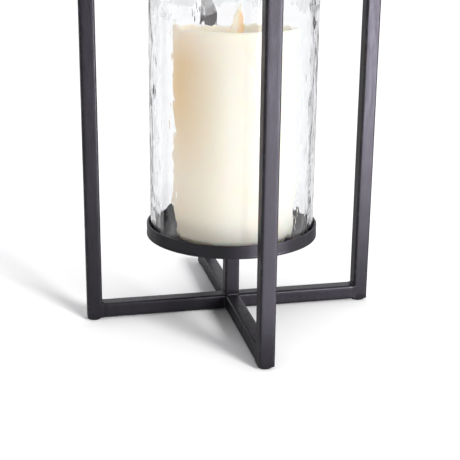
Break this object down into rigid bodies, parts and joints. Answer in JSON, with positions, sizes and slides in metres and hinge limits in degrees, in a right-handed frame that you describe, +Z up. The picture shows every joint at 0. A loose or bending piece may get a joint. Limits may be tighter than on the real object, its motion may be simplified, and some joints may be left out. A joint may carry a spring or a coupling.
{
  "type": "hurricane candle lantern",
  "caption": "Free-standing open metal frame lantern with a clear glass hurricane cylinder on a round tray and a flameless wax pillar candle inside.",
  "frame": {"origin": "on the floor, on the lantern's vertical axis, midway between the legs", "axes": "+Z up along the lantern's axis, +X towards the right leg, -Y towards the front leg"},
  "size_m": [0.25, 0.25, 0.419],
  "materials": {
    "frame_paint": "satin charcoal paint with fine hand-worked mottling",
    "foot_rubber": "matt black",
    "clear_glass": "clear hammered glass with soft dimples",
    "ivory_wax": "ivory wax, softly translucent",
    "ivory_plastic": "ivory moulded plastic",
    "flame_plastic": "translucent cream plastic, amber at one edge",
    "bright_steel": "bright nickel-plated steel",
    "copper_wire": "enamelled copper wire",
    "black_plastic": "black moulded plastic",
    "board_green": "green solder mask",
    "led_resin": "warm white LED resin",
    "battery_jacket": "plain grey jacket",
    "red_sleeve": "red wire sleeve"
  },
  "bodies": {
    "frame": {"leg_right": "frame_paint", "leg_back": "frame_paint", "leg_left": "frame_paint", "leg_front": "frame_paint", "leg_cap_right": "frame_paint", "leg_cap_back": "frame_paint", "leg_cap_left": "frame_paint", "leg_cap_front": "frame_paint", "foot_right": "foot_rubber", "foot_back": "foot_rubber", "foot_left": "foot_rubber", "foot_front": "foot_rubber", "base_bar_through": "frame_paint", "base_bar_front": "frame_paint", "base_bar_back": "frame_paint", "top_bar_through": "frame_paint", "top_bar_front": "frame_paint", "top_bar_back": "frame_paint", "stem": "frame_paint", "tray_disc": "frame_paint", "tray_rim": "frame_paint"},
    "glass": {"glass_hurricane": "clear_glass"},
    "candle": {"wax_shell": "ivory_wax", "flame_collar": "ivory_plastic", "flame_module_housing": "black_plastic", "flame_pivot_wire": "bright_steel", "coil_bobbin": "black_plastic", "coil_winding": "copper_wire", "coil_core": "bright_steel", "led": "led_resin", "module_lead_positive": "red_sleeve", "module_lead_negative": "black_plastic", "circuit_board": "board_green", "board_screw_right": "bright_steel", "board_screw_left": "bright_steel", "base_housing": "ivory_plastic", "battery_back": "battery_jacket", "battery_front": "battery_jacket", "terminal_positive": "bright_steel", "terminal_negative": "bright_steel", "bridge_contact": "bright_steel", "contact_spring_back": "bright_steel", "contact_spring_front": "bright_steel", "switch_body": "bright_steel"},
    "flame": {"flame": "flame_plastic", "flame_magnet": "bright_steel"},
    "battery_door": {"battery_door": "ivory_plastic"},
    "power_switch": {"switch_knob": "black_plastic"}
  },
  "joints": [
    {"name": "glass_lift", "type": "slide", "parent": "frame", "child": "glass", "axis": [0, 0, 1], "range_m": [0, 0.054]},
    {"name": "candle_lift", "type": "slide", "parent": "frame", "child": "candle", "axis": [0, 0, 1], "range_m": [0, 0.14]},
    {"name": "flame_swing", "type": "hinge", "parent": "candle", "child": "flame", "pos_m": [0.002, 0, 0.222], "axis": [0, 1, 0], "range_deg": [-8, 8]},
    {"name": "battery_door_twist", "type": "hinge", "parent": "candle", "child": "battery_door", "pos_m": [0.002, 0, 0.0732], "axis": [0, 0, 1], "range_deg": [0, 30]},
    {"name": "power_switch_slide", "type": "slide", "parent": "candle", "child": "power_switch", "axis": [1, 0, 0], "range_m": [-0.0025, 0.0025]}
  ]
}
